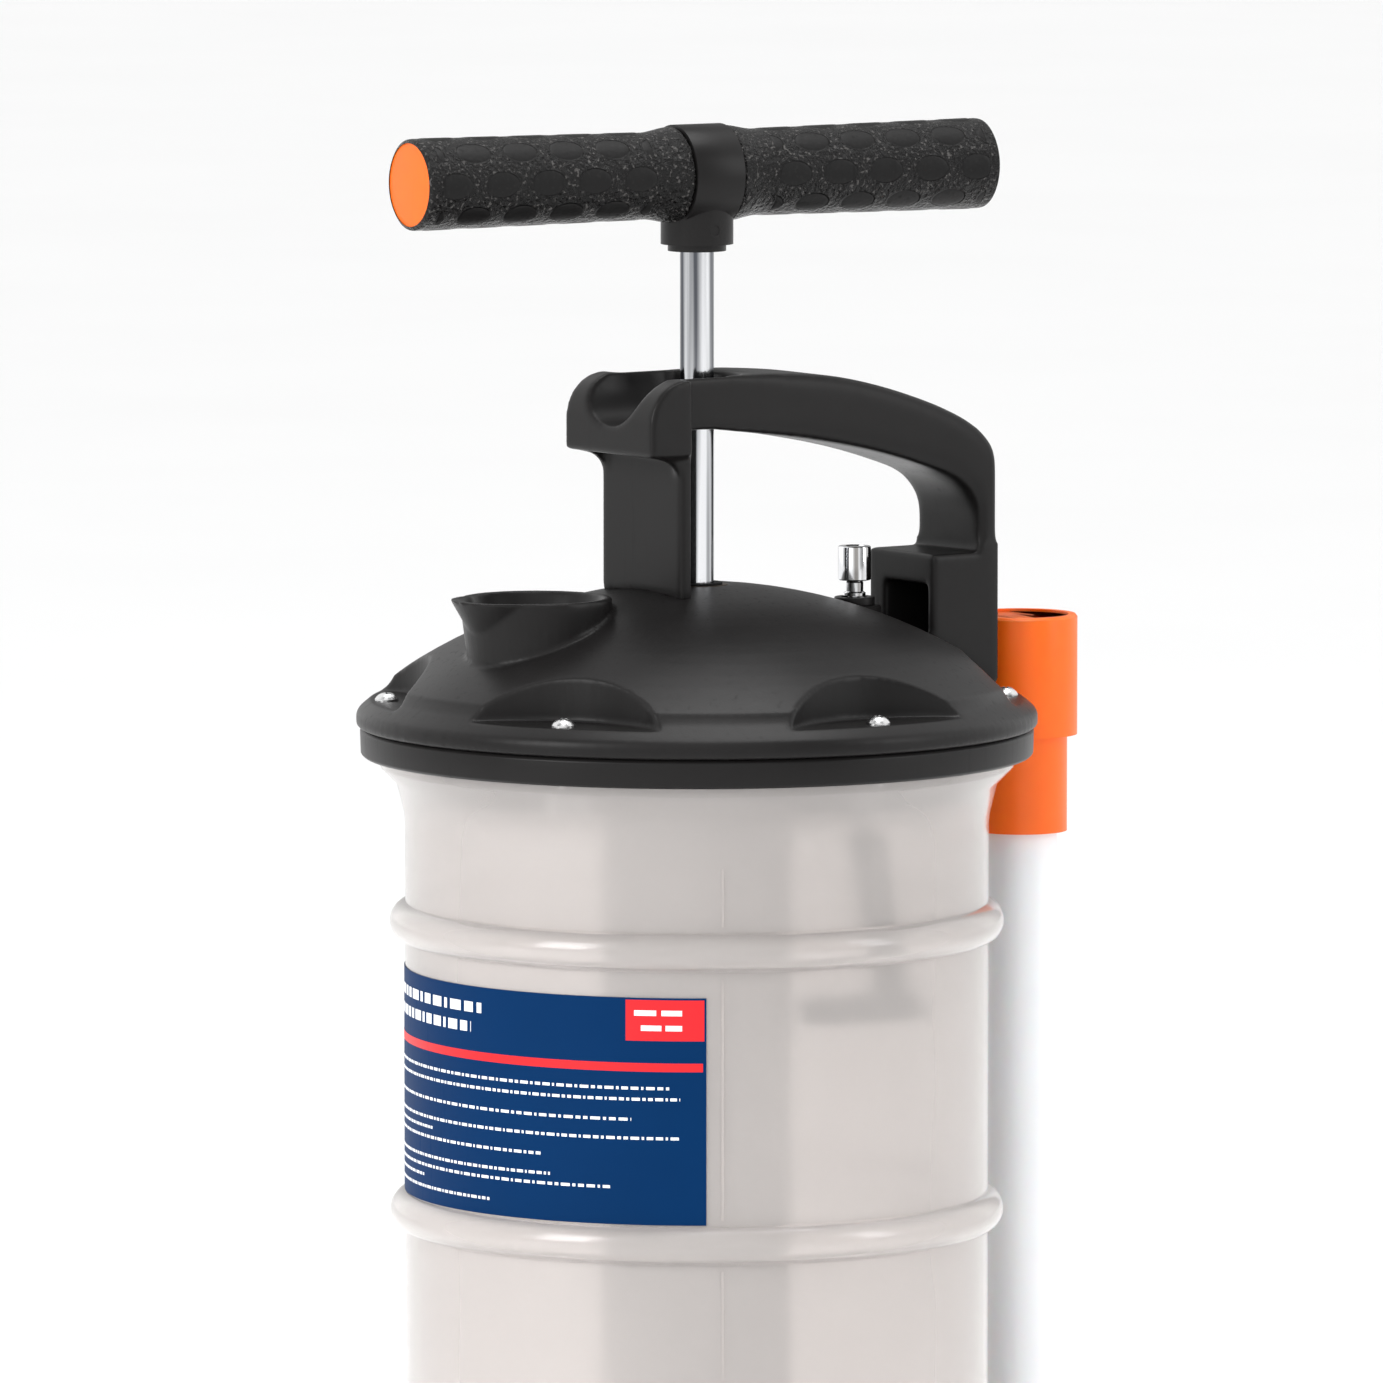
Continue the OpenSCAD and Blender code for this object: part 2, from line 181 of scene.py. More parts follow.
def group_socket(
    tree: bpy.types.NodeTree, name: str, kind: str, inward: bool, value: object = None
) -> None:
    """Add a named socket to a node group.

    Args:
        tree: The group.
        name: The socket's name.
        kind: Float, Color or Vector.
        inward: Whether it is an input.
        value: Its default.
    """
    way = "INPUT" if inward else "OUTPUT"
    socket = tree.interface.new_socket(name=name, in_out=way, socket_type="NodeSocket" + kind)
    if value is not None:
        socket.default_value = value


def moulded_group() -> bpy.types.NodeTree:
    """Build the group that gives a moulded surface its grain, blotches and handling marks.

    Returns:
        A node group from a colour to a varied colour, roughness and height.
    """
    tree = bpy.data.node_groups.new("moulded_surface", "ShaderNodeTree")
    group_socket(tree, "Colour", "Color", True, (0.03, 0.03, 0.03, 1))
    group_socket(tree, "Lift", "Float", True, 0.3)
    group_socket(tree, "Roughness", "Float", True, 0.45)
    group_socket(tree, "Spread", "Float", True, 0.06)
    group_socket(tree, "Grain Scale", "Float", True, GRAIN_SCALE)
    for name, kind in (("Colour", "Color"), ("Roughness", "Float"), ("Height", "Float")):
        group_socket(tree, name, kind, False)
    sheet = Sheet(tree)
    inward, outward = sheet.add("NodeGroupInput"), sheet.add("NodeGroupOutput")
    where = sheet.place()
    blotch = sheet.noise(where, BLOTCH_SCALE, 4.0)
    grain = sheet.noise(where, GRAIN_SCALE, 3.0)
    sheet.join(inward.outputs["Grain Scale"], grain.inputs["Scale"])
    stretched = sheet.add("Mapping")
    preset(stretched, {"Scale": MARK_STRETCH, "Rotation": MARK_TURN})
    sheet.join(where, stretched.inputs["Vector"])
    marks = sheet.noise(stretched.outputs["Vector"], MARK_SCALE, 5.0)
    lighter = sheet.add("Mix", data_type="RGBA", blend_type="ADD")
    sheet.join(inward.outputs["Colour"], lighter.inputs["A"])
    sheet.join(inward.outputs["Colour"], lighter.inputs["B"])
    amount = sheet.add("Math", operation="MULTIPLY")
    sheet.join(sheet.remap(blotch.outputs["Fac"], 0.0, 1.0), amount.inputs[0])
    sheet.join(inward.outputs["Lift"], amount.inputs[1])
    sheet.join(amount.outputs["Value"], lighter.inputs["Factor"])
    sheet.join(lighter.outputs["Result"], outward.inputs["Colour"])
    both = sheet.add("Math", operation="ADD")
    sheet.join(sheet.remap(blotch.outputs["Fac"], -0.5, 0.5), both.inputs[0])
    sheet.join(sheet.remap(marks.outputs["Fac"], 0.0, 1.4, 0.58, 0.72), both.inputs[1])
    rough = sheet.add("Math", operation="MULTIPLY_ADD", use_clamp=True)
    sheet.join(both.outputs["Value"], rough.inputs[0])
    sheet.join(inward.outputs["Spread"], rough.inputs[1])
    sheet.join(inward.outputs["Roughness"], rough.inputs[2])
    sheet.join(rough.outputs["Value"], outward.inputs["Roughness"])
    sheet.join(grain.outputs["Fac"], outward.inputs["Height"])
    return tree


def blank_material(name: str) -> tuple[Material, Sheet, bpy.types.Node]:
    """Make a material with a Principled shader.

    Args:
        name: The material's name.

    Returns:
        The material, its sheet and its Principled node.
    """
    material = bpy.data.materials.new(name)
    material.use_nodes = True
    sheet = Sheet(material.node_tree)
    return material, sheet, material.node_tree.nodes["Principled BSDF"]


@dataclass(frozen=True)
class Moulded:
    """A moulded plastic, rubber or plated finish with fine grain and soft variation."""

    name: str
    colour: Tint
    roughness: float
    spread: float = 0.06
    lift: float = 0.25
    grain_depth: float = 0.03
    grain_height: float = 0.2
    metallic: float = 0.0
    specular: float = 0.5
    scatter: float = 0.0
    scatter_depth: float = 4.0

    def build(self, group: bpy.types.NodeTree) -> Material:
        """Build the material.

        Args:
            group: The shared moulded surface group.

        Returns:
            The finished material.
        """
        material, sheet, shader = blank_material(self.name)
        surface = sheet.add("Group", node_tree=group)
        preset(surface, {
            "Colour": (*self.colour, 1.0), "Lift": self.lift, "Roughness": self.roughness,
            "Spread": self.spread,
        })
        preset(shader, {
            "Metallic": self.metallic, "Specular IOR Level": self.specular,
            "Subsurface Weight": self.scatter, "Subsurface Scale": self.scatter_depth * MM,
        })
        bump = sheet.add("Bump")
        preset(bump, {"Strength": self.grain_depth, "Distance": self.grain_height * MM})
        sheet.join(surface.outputs["Colour"], shader.inputs["Base Color"])
        sheet.join(surface.outputs["Roughness"], shader.inputs["Roughness"])
        sheet.join(surface.outputs["Height"], bump.inputs["Height"])
        sheet.join(bump.outputs["Normal"], shader.inputs["Normal"])
        return material


@dataclass(frozen=True)
class MilkyTank:
    """Translucent blow-moulded polypropylene, cloudy and slightly uneven."""

    name: str = "milky_polypropylene"
    colour: Tint = (0.775, 0.735, 0.715)
    clarity: float = 0.70
    refraction: float = 1.25
    roughness: float = 0.22
    spread: float = 0.012
    lift: float = 0.03
    wave_scale: float = 70.0
    wave_depth: float = 0.05
    wave_height: float = 0.6
    gloss: float = 0.5
    gloss_roughness: float = 0.12

    def build(self, group: bpy.types.NodeTree) -> Material:
        """Build the material.

        Args:
            group: The shared moulded surface group.

        Returns:
            The finished material.
        """
        material, sheet, shader = blank_material(self.name)
        surface = sheet.add("Group", node_tree=group)
        preset(surface, {
            "Colour": (*self.colour, 1.0), "Lift": self.lift, "Roughness": self.roughness,
            "Spread": self.spread, "Grain Scale": self.wave_scale,
        })
        preset(shader, {
            "Coat Weight": self.gloss, "Coat Roughness": self.gloss_roughness,
            "Transmission Weight": self.clarity, "IOR": self.refraction,
        })
        bump = sheet.add("Bump")
        preset(bump, {"Strength": self.wave_depth, "Distance": self.wave_height * MM})
        sheet.join(surface.outputs["Colour"], shader.inputs["Base Color"])
        sheet.join(surface.outputs["Roughness"], shader.inputs["Roughness"])
        sheet.join(surface.outputs["Height"], bump.inputs["Height"])
        sheet.join(bump.outputs["Normal"], shader.inputs["Normal"])
        return material


@dataclass(frozen=True)
class PlatedSteel:
    """Hard chrome over ground steel, its colour painted with dark and bright lengthwise bands
    that stand in for reflections.
    """

    name: str = "plated_rod"
    painted_dark_reflection: Tint = (0.10, 0.105, 0.12)
    painted_bright_reflection: Tint = (0.90, 0.91, 0.93)
    reflection_band_scale: float = 190.0
    reflection_band_length: Corner = (1.0, 1.0, 0.012)
    reflection_band_edges: Point = (0.40, 0.56)
    roughness: float = 0.10
    spread: float = 0.04

    def build(self, group: bpy.types.NodeTree) -> Material:
        """Build the material.

        Args:
            group: The shared moulded surface group.

        Returns:
            The finished material.
        """
        material, sheet, shader = blank_material(self.name)
        surface = sheet.add("Group", node_tree=group)
        preset(surface, {"Roughness": self.roughness, "Spread": self.spread})
        lengthwise = sheet.add("Mapping")
        preset(lengthwise, {"Scale": self.reflection_band_length})
        sheet.join(sheet.place(), lengthwise.inputs["Vector"])
        # Painted reflection: lengthwise dark and bright bands in the base colour stand in for the
        # room reflected in the chrome.
        reflection_band_noise = sheet.noise(lengthwise.outputs["Vector"], self.reflection_band_scale, 3.0)
        tone = sheet.add("Mix", data_type="RGBA")
        preset(tone, {"A": (*self.painted_dark_reflection, 1.0), "B": (*self.painted_bright_reflection, 1.0)})
        painted_reflection_bands = sheet.remap(reflection_band_noise.outputs["Fac"], 0.0, 1.0, *self.reflection_band_edges)
        sheet.join(painted_reflection_bands, tone.inputs["Factor"])
        sheet.join(tone.outputs["Result"], shader.inputs["Base Color"])
        sheet.join(surface.outputs["Roughness"], shader.inputs["Roughness"])
        preset(shader, {"Metallic": 1.0})
        return material


@dataclass(frozen=True)
class PebbledGrip:
    """Black rubber with a pebbled skin that fades out on smooth oval patches."""

    name: str = "pebbled_grip_rubber"
    patch_attribute: str = "smooth_patch"
    colour: Tint = (0.003, 0.0028, 0.0028)
    # Colour of the lighter specks, which are painted glints of the pebbled skin.
    painted_glint_colour: Tint = (0.065, 0.062, 0.06)
    lift: float = 0.5
    roughness: float = 0.22
    spread: float = 0.14
    specular: float = 0.17
    grain_scale: float = 1500.0
    pebble_scale: float = 620.0
    pebble_softness: float = 0.4
    pebble_depth: float = 0.9
    pebble_height: float = 0.7
    patch_skin: Point = (1.0, 0.06)
    patch_edge: Point = (0.35, 0.65)
    patch_matte: float = 0.22
    glint_speck_scale: float = 900.0
    glint_speck_edge: Point = (0.60, 0.72)

    def build(self, group: bpy.types.NodeTree) -> Material:
        """Build the material.

        Args:
            group: The shared moulded surface group.

        Returns:
            The finished material.
        """
        material, sheet, shader = blank_material(self.name)
        surface = sheet.add("Group", node_tree=group)
        preset(surface, {
            "Colour": (*self.colour, 1.0), "Lift": self.lift, "Roughness": self.roughness,
            "Spread": self.spread, "Grain Scale": self.grain_scale,
        })
        preset(shader, {"Specular IOR Level": self.specular})
        cells = sheet.add("TexVoronoi", feature="SMOOTH_F1")
        preset(cells, {"Scale": self.pebble_scale, "Smoothness": self.pebble_softness})
        sheet.join(sheet.place(), cells.inputs["Vector"])
        pebbles = sheet.add("Math", operation="ADD")
        sheet.join(cells.outputs["Distance"], pebbles.inputs[0])
        sheet.join(surface.outputs["Height"], pebbles.inputs[1])
        patch = sheet.add("Attribute", attribute_name=self.patch_attribute)
        skin = sheet.add("Math", operation="MULTIPLY")
        sheet.join(pebbles.outputs["Value"], skin.inputs[0])
        rough_skin = sheet.remap(patch.outputs["Fac"], *self.patch_skin, *self.patch_edge)
        sheet.join(rough_skin, skin.inputs[1])
        bump = sheet.add("Bump")
        preset(bump, {"Strength": self.pebble_depth, "Distance": self.pebble_height * MM})
        sheet.join(skin.outputs["Value"], bump.inputs["Height"])
        matte = sheet.add("Math", operation="MULTIPLY_ADD")
        matte.inputs[1].default_value = self.patch_matte
        sheet.join(patch.outputs["Fac"], matte.inputs[0])
        sheet.join(surface.outputs["Roughness"], matte.inputs[2])
        # Painted glints: lighter specks in the base colour on the pebbled skin stand in for the
        # pebbles' tiny highlights.
        glint_speck_noise = sheet.noise(sheet.place(), self.glint_speck_scale, 1.0)
        painted_glint_mask = sheet.add("Math", operation="MULTIPLY")
        glint_speck_picked = sheet.remap(glint_speck_noise.outputs["Fac"], 0.0, 1.0, *self.glint_speck_edge)
        sheet.join(glint_speck_picked, painted_glint_mask.inputs[0])
        sheet.join(rough_skin, painted_glint_mask.inputs[1])
        tone = sheet.add("Mix", data_type="RGBA")
        sheet.join(painted_glint_mask.outputs["Value"], tone.inputs["Factor"])
        sheet.join(surface.outputs["Colour"], tone.inputs["A"])
        preset(tone, {"B": (*self.painted_glint_colour, 1.0)})
        sheet.join(tone.outputs["Result"], shader.inputs["Base Color"])
        sheet.join(matte.outputs["Value"], shader.inputs["Roughness"])
        sheet.join(bump.outputs["Normal"], shader.inputs["Normal"])
        return material


@dataclass
class Finishes:
    """Every finish of the pump, built once."""

    made: dict[str, Material] = field(default_factory=dict)

    def build(self) -> "Finishes":
        """Build all the materials.

        Returns:
            This set of finishes.
        """
        group = moulded_group()
        recipes = (
            Moulded(
                "satin_black_plastic", (0.0065, 0.006, 0.006), 0.38, lift=0.4, grain_depth=0.10,
                specular=0.17,
            ),
            Moulded("black_rubber", (0.006, 0.006, 0.006), 0.62, grain_depth=0.06, specular=0.12),
            Moulded(
                "orange_plastic", (0.78, 0.12, 0.004), 0.38, lift=0.10, specular=0.3, scatter=0.3
            ),
            Moulded("white_tube_plastic", (0.76, 0.76, 0.78), 0.32, lift=0.04, scatter=0.2),
            Moulded("cloudy_cylinder_plastic", (0.26, 0.26, 0.26), 0.35, lift=0.15),
            Moulded(
                "fastener_steel", (0.58, 0.58, 0.58), 0.24, spread=0.1, lift=0.15, metallic=1.0
            ),
            Moulded("sintered_bronze", (0.07, 0.05, 0.032), 0.45, spread=0.1, metallic=1.0),
            Moulded(
                "machined_aluminium", (0.55, 0.56, 0.57), 0.34, spread=0.1, lift=0.1, metallic=1.0
            ),
            Moulded(
                "label_navy", (0.0, 0.022, 0.085), 0.50, lift=0.10, grain_depth=0.02,
                specular=0.05,
            ),
            Moulded(
                "label_red", (0.66, 0.008, 0.014), 0.42, lift=0.05, grain_depth=0.02, specular=0.3
            ),
            Moulded(
                "label_white", (0.80, 0.81, 0.83), 0.42, lift=0.03, grain_depth=0.02, specular=0.3
            ),
            # The rod and the knob both carry painted reflection bands in their base colour.
            PlatedSteel(),
            PlatedSteel("plated_knob", painted_dark_reflection=(0.26, 0.25, 0.24), reflection_band_scale=420.0),
            MilkyTank(),
            PebbledGrip(),
        )
        for recipe in recipes:
            self.made[recipe.name] = recipe.build(group)
        return self

    def __getitem__(self, name: str) -> Material:
        """Return the material of that name."""
        return self.made[name]


# ------------------------------------------------------------------ mesh work


def turned(shape: Shape, outline: list[Point], steps: int, angle: float = 360.0) -> None:
    """Add a solid turned about Z from a closed outline.

    Args:
        shape: The bmesh that it joins.
        outline: Radius and height of each corner in millimetres, in order.
        steps: How many segments the turn has.
        angle: How far it turns, in degrees.
    """
    corners = [shape.verts.new((r * MM, 0.0, z * MM)) for r, z in outline]
    sides = [shape.edges.new((a, b)) for a, b in zip(corners, corners[1:] + corners[:1])]
    full = angle >= 360.0
    bmesh.ops.spin(
        shape, geom=corners + sides, cent=(0, 0, 0), axis=(0, 0, 1), dvec=(0, 0, 0),
        angle=math.radians(angle), steps=steps, use_merge=full, use_duplicate=False,
    )
    bmesh.ops.remove_doubles(shape, verts=shape.verts[:], dist=WELD)
    if not full:
        rims = [e for e in shape.edges if e.is_boundary]
        bmesh.ops.holes_fill(shape, edges=rims, sides=len(outline))
    bmesh.ops.dissolve_degenerate(shape, dist=WELD, edges=shape.edges[:])
    bmesh.ops.recalc_face_normals(shape, faces=shape.faces[:])


def wrap_strip(
    shape: Shape, outline: list[Point], steps: int, sweep: float, start: float
) -> None:
    """Add a strip that follows the tank's wall part of the way round.

    Args:
        shape: The bmesh that it joins.
        outline: Radius and height of each corner of its section in millimetres.
        steps: How many segments it has.
        sweep: How far it reaches round the wall, in degrees.
        start: Where it starts, in degrees from X.
    """
    strip = bmesh.new()
    turned(strip, outline, steps, sweep)
    bmesh.ops.rotate(
        strip, verts=strip.verts[:], cent=(0, 0, 0),
        matrix=Matrix.Rotation(math.radians(start), 3, "Z"),
    )
    spare = bpy.data.meshes.new("strip")
    strip.to_mesh(spare)
    strip.free()
    shape.from_mesh(spare)
    bpy.data.meshes.remove(spare)


def ease_edges(shape: Shape, width: float, segments: int = 3, limit: float = 25.0) -> None:
    """Round every edge sharper than a limit.

    Args:
        shape: The bmesh.
        width: Width of the rounding in millimetres.
        segments: How many faces the rounding has.
        limit: The least angle between faces that counts as sharp, in degrees.
    """
    least = math.radians(limit)
    sharp = [e for e in shape.edges if e.is_manifold and e.calc_face_angle(0.0) > least]
    bmesh.ops.bevel(
        shape, geom=sharp, offset=width * MM, offset_type="OFFSET", segments=segments,
        profile=0.5, affect="EDGES", clamp_overlap=True, material=-1,
    )
    bmesh.ops.recalc_face_normals(shape, faces=shape.faces[:])


def merged_copy(*nodes: str) -> Shape:
    """Return the joined, merged and cleaned meshes of some CAD nodes.

    Args:
        *nodes: The nodes' names.

    Returns:
        A new bmesh.
    """
    shape = bmesh.new()
    for name in nodes:
        shape.from_mesh(frame["nodes"][name].data)
    bmesh.ops.remove_doubles(shape, verts=shape.verts[:], dist=2.0 * WELD)
    bmesh.ops.dissolve_degenerate(shape, dist=WELD, edges=shape.edges[:])
    for layer in list(shape.loops.layers.uv.values()):
        shape.loops.layers.uv.remove(layer)
    return shape


def shading(piece: Piece, angle: float = 32.0) -> None:
    """Shade a piece smooth, with edges sharper than an angle left crisp.

    Args:
        piece: The mesh object.
        angle: The least angle of a crisp edge, in degrees.
    """
    shape = bmesh.new()
    shape.from_mesh(piece.data)
    for face in shape.faces:
        face.smooth = True
    for edge in shape.edges:
        edge.smooth = edge.is_manifold and edge.calc_face_angle(0.0) < math.radians(angle)
    shape.to_mesh(piece.data)
    shape.free()


def piece_from(shape: Shape, name: str, material: Material) -> Piece:
    """Turn a bmesh into an object of the scene.

    Args:
        shape: The bmesh, which is freed.
        name: The piece's name.
        material: Its finish.

    Returns:
        The new object.
    """
    mesh = bpy.data.meshes.new(name)
    shape.to_mesh(mesh)
    shape.free()
    mesh.materials.append(material)
    piece = bpy.data.objects.new(name, mesh)
    bpy.context.scene.collection.objects.link(piece)
    shading(piece)
    return piece


def settle(piece: Piece) -> None:
    """Bake a piece's modifiers into its mesh.

    Args:
        piece: The mesh object.
    """
    graph = bpy.context.evaluated_depsgraph_get()
    mesh = bpy.data.meshes.new_from_object(piece.evaluated_get(graph))
    piece.modifiers.clear()
    piece.data = mesh


def cast(
    piece: Piece,
    grid: float,
    rounds: int,
    keep: float,
    zone: tuple[Corner, Corner] | None = None,
    zone_rounds: int = 0,
    zone_fade: float = 0.0,
) -> None:
    """Recast a piece on a fine grid and smooth it, so every edge gets a moulded radius.

    Args:
        piece: The mesh object.
        grid: Grid size in millimetres.
        rounds: How many smoothing rounds it gets.
        keep: The share of faces left after thinning.
        zone: Lowest and highest corner of a box that is smoothed further, in millimetres.
        zone_rounds: How many further rounds that box gets.
        zone_fade: How far the box's near side draws back over those rounds, in millimetres.
    """
    remesh = piece.modifiers.new("grid", "REMESH")
    remesh.mode = "VOXEL"
    remesh.voxel_size = grid * MM
    settle(piece)
    shape = bmesh.new()
    shape.from_mesh(piece.data)
    batches = [shape.verts[:]] * rounds
    if zone:
        low, high = (Vector(corner) * MM for corner in zone)
        inside = [
            v for v in shape.verts if all(low[i] <= v.co[i] <= high[i] for i in range(3))
        ]
        for step in range(zone_rounds):
            start = low.y + zone_fade * MM * step / zone_rounds
            batches.append([v for v in inside if v.co.y >= start])
    for verts in batches:
        bmesh.ops.smooth_vert(
            shape, verts=verts, factor=0.5, use_axis_x=True, use_axis_y=True, use_axis_z=True,
        )
    shape.to_mesh(piece.data)
    shape.free()
    thin = piece.modifiers.new("thin", "DECIMATE")
    thin.ratio = keep
    settle(piece)
    shading(piece, 60.0)


@dataclass
class Assembly:
    """What every sub-assembly shares: its finishes and the way that it adds pieces."""

    finishes: Finishes
    body: str = "root"
    pieces: list[Piece] = field(default_factory=list)

    def add(
        self,
        shape: Shape,
        name: str,
        finish: str,
        slot: Slot,
        stands_for: tuple[str, ...] = (),
        body: str | None = None,
    ) -> Piece:
        """Add a piece to the scene.

        Args:
            shape: Its bmesh.
            name: Its name.
            finish: The name of its finish.
            slot: The record's slot for the finish; not used.
            stands_for: CAD nodes that it replaces.
            body: The body that it rides on, if not the assembly's own.

        Returns:
            The new object.
        """
        piece = piece_from(shape, name, self.finishes[finish])
        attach(piece, body or self.body)
        if stands_for:
            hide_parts(*stands_for)
        self.pieces.append(piece)
        LOG.info("%s: %d faces", name, len(piece.data.polygons))
        return piece

    def eased_node(
        self, node: str, finish: str, slot: Slot, width: float, body: str | None = None
    ) -> None:
        """Replace a CAD node by a copy with rounded edges.

        Args:
            node: The node.
            finish: The name of the finish.
            slot: The record's slot.
            width: Width of the rounding in millimetres.
            body: The body that it rides on, if not the assembly's own.
        """
        shape = merged_copy(node)
        bmesh.ops.dissolve_limit(
            shape, angle_limit=math.radians(0.6), verts=shape.verts[:], edges=shape.edges[:],
            use_dissolve_boundaries=False, delimit=set(),
        )
        ease_edges(shape, width)
        bmesh.ops.triangulate(shape, faces=[f for f in shape.faces if len(f.verts) > 4])
        self.add(shape, node + "_finished", finish, slot, (node,), body)


def dress_node(name: str, material: Material) -> None:
    """Give a CAD node its finish.

    Args:
        name: The node.
        material: The finish.
    """
    for slot in frame["nodes"][name].material_slots:
        slot.link = "OBJECT"
        slot.material = material
    LOG.info("%s: dressed in %s", name, material.name)


# -------------------------------------------------------------- sub-assemblies


@dataclass
class Tank(Assembly):
    """The cloudy ribbed tank, its label and its clamp ring. Sizes are in millimetres."""

    rim_z: float = 405.0
    radius: float = 86.0
    wall: float = 2.2
    foot: float = 8.0
    heel: float = 10.0
    rib_tops: tuple[float, ...] = (356.0, 270.5, 185.0, 99.5)
    rib_radius: float = 6.0
    rib_centre: float = 84.5
    rib_steps: int = 9
    heel_steps: int = 8
    turn_steps: int = 192
    neck: tuple[Point, ...] = (
        (86, -20), (86.3, -17), (87, -14), (88.5, -8), (93.2, -3.3), (93.5, -2.6), (93.5, 1.5),
        (96.3, 1.6), (96.5, 1.9), (96.5, 4.4), (83.9, 4.4),
    )
    seam_angles: Point = (-30.3, 149.7)
    seam_sweep: float = 0.55
    seam_root: float = -0.3
    seam_rise: float = 0.22
    seam_ends: Point = (22.0, 381.0)
    rib_clear: float = 7.0
    label_low: float = 276.6
    label_high: float = 342.9
    label_half_angle: float = 56.8
    label_skin: float = 86.32
    print_root: float = 0.05
    print_step: float = 2.0
    ink: float = 0.05
    panel_ink: float = 0.09
    text_margin: float = 6.0
    text_gap: float = 0.42
    dash_length: Point = (0.9, 0.55)
    dash_phase: Point = (2.3, 1.7)
    text_rows: tuple[tuple[float, float, float, float], ...] = (
        (58.7, 3.0, 0.58, 4.2), (52.9, 3.0, 0.55, 3.6), (39.5, 0.85, 0.97, 1.9),
        (36.3, 0.85, 0.99, 1.7), (30.4, 0.85, 0.90, 2.1), (24.9, 0.85, 0.99, 1.8),
        (22.0, 0.85, 0.42, 1.6), (19.1, 0.85, 0.72, 1.9), (13.4, 0.85, 0.74, 1.7),
        (10.5, 0.85, 0.86, 2.0), (7.6, 0.85, 0.38, 1.8), (4.2, 0.85, 0.60, 1.7),
    )
    panel_left: float = 23.5
    panel_margin: float = 0.6
    panel_tall: float = 12.5
    panel_dashes: tuple[tuple[float, tuple[float, ...]], ...] = (
        (5.2, (0.0, 6.5, 8.0, 14.0)), (9.6, (2.0, 8.0, 9.2, 14.0)),
    )
    dash_start: float = 21.0
    dash_tall: float = 1.6
    strip_below_top: Point = (21.5, 19.0)

    def half_section(self, radius: float, bottom: float, heel: float, rib: float) -> list[Point]:
        """Draw the outline of one face of the wall, from the middle of the floor upwards.

        Args:
            radius: The face's radius.
            bottom: Height of its floor.
            heel: Radius of its lower corner.
            rib: Radius of its ribs.

        Returns:
            Radius and height of each corner.
        """
        points = [(0.0, bottom), (radius - heel, bottom)]
        for step in range(1, self.heel_steps + 1):
            turn = math.radians(90.0 * step / self.heel_steps)
            out, up = heel * math.sin(turn), heel - heel * math.cos(turn)
            points.append((radius - heel + out, bottom + up))
        reach = math.acos((radius - self.rib_centre) / rib)
        for centre in reversed(self.rib_tops):
            for step in range(self.rib_steps + 1):
                turn = -reach + 2.0 * reach * step / self.rib_steps
                out, up = rib * math.cos(turn), rib * math.sin(turn)
                points.append((self.rib_centre + out, centre + up))
        return points

    def shell(self) -> Shape:
        """Build the tank's closed shell.

        Returns:
            The shell as a bmesh.
        """
        outer = self.half_section(self.radius, self.foot, self.heel, self.rib_radius)
        outer += [(r, self.rim_z + z) for r, z in self.neck]
        inner = self.half_section(
            self.radius - self.wall, self.foot + self.wall,
            self.heel - self.wall, self.rib_radius - self.wall,
        )
        shape = bmesh.new()
        turned(shape, outer + inner[::-1], self.turn_steps)
        return shape

    def parting_line(self) -> Shape:
        """Build the thin weld lines that the mould leaves on two sides of the tank.

        Returns:
            The lines as a bmesh.
        """
        shape = bmesh.new()
        clear = self.rib_clear
        heights = [b for rib in reversed(self.rib_tops) for b in (rib - clear, rib + clear)]
        ends = [self.seam_ends[0], *heights, self.seam_ends[1]]
        root, crest = self.radius + self.seam_root, self.radius + self.seam_rise
        for low, high in zip(ends[::2], ends[1::2]):
            outline = [(root, low), (crest, low + 1.0), (crest, high - 1.0), (root, high)]
            for angle in self.seam_angles:
                wrap_strip(shape, outline, 2, self.seam_sweep, angle)
        return shape

    def print_bar(
        self, shape: Shape, left: float, right: float, low: float, high: float, skin: float
    ) -> None:
        """Add one printed bar, measured along the label from its middle.

        Args:
            shape: The bmesh that it joins.
            left: Distance of its left end from the label's middle.
            right: Distance of its right end.
            low: Height of its lower edge above the label's.
            high: Height of its upper edge above the label's.
            skin: Radius of its outer face.
        """
        start = math.degrees(left / self.radius) - 90.0
        sweep = math.degrees((right - left) / self.radius)
        low, high = self.label_low + low, self.label_low + high
        root = self.radius + self.print_root
        outline = [(root, low), (skin, low), (skin, high), (root, high)]
        wrap_strip(shape, outline, max(1, round(sweep / self.print_step)), sweep, start)

    def label(self) -> None:
        """Print the label: a navy field, a red panel and strip, and rows of white dashes."""
        half = math.radians(self.label_half_angle) * self.radius
        tall = self.label_high - self.label_low
        field_shape = bmesh.new()
        self.print_bar(field_shape, -half, half, 0.0, tall, self.label_skin)
        self.add(field_shape, "label_field", "label_navy", Slot.LABEL, ("tank_label",))
        red = bmesh.new()
        ink, edge = self.label_skin + self.ink, self.panel_margin
        self.print_bar(
            red, half - self.panel_left, half - edge, tall - self.panel_tall, tall - edge, ink
        )
        low, high = (tall - drop for drop in self.strip_below_top)
        self.print_bar(red, -half + 1.0, half - 1.0, low, high, ink)
        self.add(red, "label_red_print", "label_red", Slot.LABEL)
        white = bmesh.new()
        (mean, vary), (per_dash, per_row) = self.dash_length, self.dash_phase
        for row, (low, height, reach, pitch) in enumerate(self.text_rows):
            place, count = -half + self.text_margin, 0
            end = place + reach * 2.0 * (half - self.text_margin)
            while place < end:
                long = pitch * (mean + vary * math.sin(per_dash * count + per_row * row))
                self.print_bar(white, place, min(place + long, end), low, low + height, ink)
                place += long + self.text_gap * pitch
                count += 1
        panel, high_ink = half - self.dash_start, self.label_skin + self.panel_ink
        for drop, ends in self.panel_dashes:
            low = tall - drop
            for left, right in zip(ends[::2], ends[1::2]):
